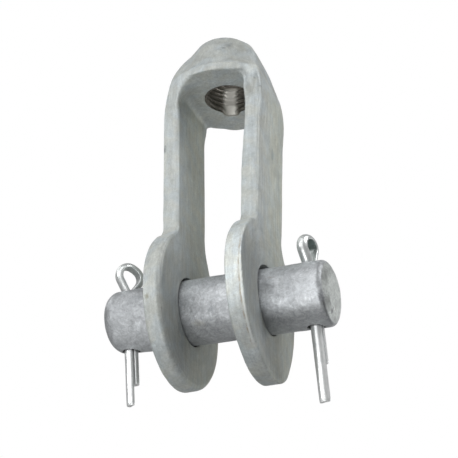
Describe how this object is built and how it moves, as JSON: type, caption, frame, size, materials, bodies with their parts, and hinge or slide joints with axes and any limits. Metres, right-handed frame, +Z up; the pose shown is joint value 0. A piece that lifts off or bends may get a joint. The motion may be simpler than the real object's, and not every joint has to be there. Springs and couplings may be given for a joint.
{
  "type": "pipe hanger clevis",
  "caption": "Long forged steel clevis for hanging pipe, with a tapped head for a threaded rod and a loose clevis pin through round ears, kept in by cotter pins.",
  "frame": {"origin": "centre of the tapped hole's mouth, on the flat top of the head", "axes": "+Z up along the threaded rod, X along the clevis pin, Y across the flat sides of the ears' rims; the clevis hangs down from the origin"},
  "size_m": [0.092, 0.0622, 0.1605],
  "materials": {
    "yoke": "hot-dip galvanised forged steel, dull mottled grey",
    "pin": "hot-dip galvanised round bar, faint blue-grey spangle",
    "cotter": "bright zinc-plated half-round wire"
  },
  "bodies": {
    "yoke": {"clevis_yoke": "yoke"},
    "pin": {"clevis_pin": "pin"},
    "cotter_left": {"cotter_pin_left": "cotter"},
    "cotter_right": {"cotter_pin_right": "cotter"}
  },
  "joints": [
    {"name": "pin_turn", "type": "hinge", "parent": "yoke", "child": "pin", "pos_m": [0, 0, -0.1203], "axis": [1, 0, 0], "continuous": true},
    {"name": "cotter_left_draw", "type": "slide", "parent": "pin", "child": "cotter_left", "axis": [0.0052, -0.2079, 0.9781], "range_m": [0, 0.05]},
    {"name": "cotter_right_draw", "type": "slide", "parent": "pin", "child": "cotter_right", "axis": [-0.0471, -0.2077, 0.9771], "range_m": [0, 0.057]}
  ]
}
